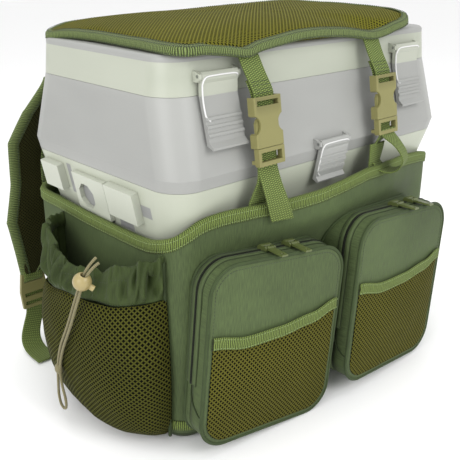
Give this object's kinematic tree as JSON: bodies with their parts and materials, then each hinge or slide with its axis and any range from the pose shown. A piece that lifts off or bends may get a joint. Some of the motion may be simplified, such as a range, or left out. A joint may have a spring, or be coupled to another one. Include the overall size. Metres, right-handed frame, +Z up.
{
  "type": "tackle backpack",
  "caption": "Fishing seat box in a fabric rucksack: strapped seat pad, latched lid and tray, zipped front pockets, mesh side pocket, shoulder straps.",
  "frame": {"origin": "middle of the flat underside of the base pan, on the ground", "axes": "+X to the right as the front is looked at, +Y towards the back panel, +Z up"},
  "size_m": [0.4964, 0.3592, 0.3966],
  "materials": {
    "box_pale": "satin, slightly translucent polypropylene",
    "box_grey": "satin, slightly translucent polypropylene",
    "pin_steel": "plain steel pin",
    "bag_fabric": "woven nylon, olive green",
    "webbing": "woven polypropylene webbing, light olive",
    "air_mesh": "knitted spacer mesh with staggered holes",
    "buckle_tan": "moulded acetal, satin",
    "zip_olive": "moulded nylon",
    "cord": "braided cord"
  },
  "bodies": {
    "rucksack": {"box_base": "box_pale", "box_tray": "box_grey", "latch_pin_tray": "pin_steel", "lid_hinge_pins": "pin_steel", "leg_socket": "box_pale", "side_lugs": "box_pale", "bag_sleeve": "bag_fabric", "rim_binding": "webbing", "base_binding": "webbing", "base_pan": "bag_fabric", "back_panel": "air_mesh", "lower_strap_left": "webbing", "lower_strap_right": "webbing", "side_pocket_mesh": "air_mesh", "side_pocket_collar": "bag_fabric", "drawcord": "cord", "cord_knot": "cord", "strap_tail_left": "webbing", "strap_tail_right": "webbing", "pocket_left_back": "bag_fabric", "pocket_left_zip": "zip_olive", "pocket_left_mesh_lower": "air_mesh", "pocket_right_back": "bag_fabric", "pocket_right_zip": "zip_olive", "pocket_right_mesh_lower": "air_mesh"},
    "lid": {"lid_band": "box_pale", "lid_cap": "box_grey", "latch_pins_lid": "pin_steel", "pad_flap": "bag_fabric"},
    "pad": {"seat_pad": "air_mesh", "seat_pad_binding": "webbing"},
    "latch_left": {"latch_left": "box_grey"},
    "latch_right": {"latch_right": "box_grey"},
    "latch_lower": {"latch_lower": "box_grey"},
    "strap_left": {"upper_strap_left": "webbing", "buckle_socket_left": "buckle_tan"},
    "buckle_plug_left": {"buckle_plug_left": "buckle_tan"},
    "strap_right": {"upper_strap_right": "webbing", "buckle_socket_right": "buckle_tan"},
    "buckle_plug_right": {"buckle_plug_right": "buckle_tan"},
    "pocket_left_door": {"pocket_left_door": "bag_fabric", "pocket_left_mesh_upper": "air_mesh", "pocket_left_mesh_edge": "webbing"},
    "zip_slider_left_1": {"zip_slider_left_1": "zip_olive"},
    "zip_pull_left_1": {"zip_pull_left_1": "zip_olive"},
    "zip_slider_left_2": {"zip_slider_left_2": "zip_olive"},
    "zip_pull_left_2": {"zip_pull_left_2": "zip_olive"},
    "pocket_right_door": {"pocket_right_door": "bag_fabric", "pocket_right_mesh_upper": "air_mesh", "pocket_right_mesh_edge": "webbing"},
    "zip_slider_right_1": {"zip_slider_right_1": "zip_olive"},
    "zip_pull_right_1": {"zip_pull_right_1": "zip_olive"},
    "zip_slider_right_2": {"zip_slider_right_2": "zip_olive"},
    "zip_pull_right_2": {"zip_pull_right_2": "zip_olive"},
    "toggle_ball": {"toggle_ball": "buckle_tan"},
    "toggle_button": {"toggle_button": "buckle_tan"},
    "shoulder_left": {"shoulder_pad_left": "air_mesh", "ladder_lock_left": "buckle_tan"},
    "shoulder_right": {"shoulder_pad_right": "air_mesh", "ladder_lock_right": "buckle_tan"}
  },
  "joints": [
    {"name": "lid_hinge", "type": "hinge", "parent": "rucksack", "child": "lid", "pos_m": [0, 0.117, 0.342], "axis": [-1, 0, 0], "range_deg": [0, 85]},
    {"name": "pad_hinge", "type": "hinge", "parent": "lid", "child": "pad", "pos_m": [0, 0.1102, 0.3764], "axis": [-1, 0, 0], "range_deg": [0, 80]},
    {"name": "latch_left_swing", "type": "hinge", "parent": "lid", "child": "latch_left", "pos_m": [-0.142, -0.1135, 0.358], "axis": [-1, 0, 0], "range_deg": [0, 85]},
    {"name": "latch_right_swing", "type": "hinge", "parent": "lid", "child": "latch_right", "pos_m": [0.136, -0.1135, 0.358], "axis": [-1, 0, 0], "range_deg": [0, 85]},
    {"name": "latch_lower_swing", "type": "hinge", "parent": "rucksack", "child": "latch_lower", "pos_m": [-0.002, -0.131, 0.278], "axis": [-1, 0, 0], "range_deg": [0, 85]},
    {"name": "strap_left_swing", "type": "hinge", "parent": "pad", "child": "strap_left", "pos_m": [-0.104, -0.1255, 0.377], "axis": [-1, 0, 0], "range_deg": [0, 60]},
    {"name": "buckle_left_release", "type": "slide", "parent": "rucksack", "child": "buckle_plug_left", "axis": [0, -0.1392, -0.9903], "range_m": [0, 0.026]},
    {"name": "strap_right_swing", "type": "hinge", "parent": "pad", "child": "strap_right", "pos_m": [0.072, -0.1255, 0.377], "axis": [-1, 0, 0], "range_deg": [0, 60]},
    {"name": "buckle_right_release", "type": "slide", "parent": "rucksack", "child": "buckle_plug_right", "axis": [0, -0.1392, -0.9903], "range_m": [0, 0.026]},
    {"name": "pocket_left_fold", "type": "hinge", "parent": "rucksack", "child": "pocket_left_door", "pos_m": [-0.116, -0.16068, 0.06714], "axis": [0.9901, -0.1041, -0.0941], "range_deg": [0, 80]},
    {"name": "zip_slider_left_1_run", "type": "slide", "parent": "rucksack", "child": "zip_slider_left_1", "axis": [0.9901, -0.1041, -0.0941], "range_m": [-0.042, 0]},
    {"name": "zip_pull_left_1_flip", "type": "hinge", "parent": "zip_slider_left_1", "child": "zip_pull_left_1", "pos_m": [-0.10838, -0.1468, 0.19564], "axis": [-0.9901, 0.1041, 0.0941], "range_deg": [0, 55]},
    {"name": "zip_slider_left_2_run", "type": "slide", "parent": "rucksack", "child": "zip_slider_left_2", "axis": [0.9901, -0.1041, -0.0941], "range_m": [0, 0.02]},
    {"name": "zip_pull_left_2_flip", "type": "hinge", "parent": "zip_slider_left_2", "child": "zip_pull_left_2", "pos_m": [-0.07868, -0.14993, 0.19281], "axis": [-0.9901, 0.1041, 0.0941], "range_deg": [0, 80]},
    {"name": "pocket_right_fold", "type": "hinge", "parent": "rucksack", "child": "pocket_right_door", "pos_m": [0.0671, -0.17409, 0.07013], "axis": [0.9954, 0.0295, -0.0906], "range_deg": [0, 80]},
    {"name": "zip_slider_right_1_run", "type": "slide", "parent": "rucksack", "child": "zip_slider_right_1", "axis": [0.9954, 0.0295, -0.0906], "range_m": [-0.042, 0]},
    {"name": "zip_pull_right_1_flip", "type": "hinge", "parent": "zip_slider_right_1", "child": "zip_pull_right_1", "pos_m": [0.08229, -0.15903, 0.19774], "axis": [-0.9954, -0.0295, 0.0906], "range_deg": [0, 80]},
    {"name": "zip_slider_right_2_run", "type": "slide", "parent": "rucksack", "child": "zip_slider_right_2", "axis": [0.9954, 0.0295, -0.0906], "range_m": [0, 0.02]},
    {"name": "zip_pull_right_2_flip", "type": "hinge", "parent": "zip_slider_right_2", "child": "zip_pull_right_2", "pos_m": [0.11215, -0.15814, 0.19502], "axis": [-0.9954, -0.0295, 0.0906], "range_deg": [0, 80]},
    {"name": "toggle_slide", "type": "slide", "parent": "rucksack", "child": "toggle_ball", "axis": [-0.13, 0.36, -0.9239], "range_m": [0, 0.012]},
    {"name": "toggle_press", "type": "slide", "parent": "toggle_ball", "child": "toggle_button", "axis": [-0.6003, 0.5503, 0.5803], "range_m": [0, 0.0022], "stiffness_N_per_m": 250},
    {"name": "shoulder_left_swing", "type": "hinge", "parent": "rucksack", "child": "shoulder_left", "pos_m": [-0.139, 0.1475, 0.322], "axis": [1, 0, 0], "range_deg": [0, 28]},
    {"name": "shoulder_right_swing", "type": "hinge", "parent": "rucksack", "child": "shoulder_right", "pos_m": [0.139, 0.1475, 0.322], "axis": [1, 0, 0], "range_deg": [0, 28]}
  ]
}
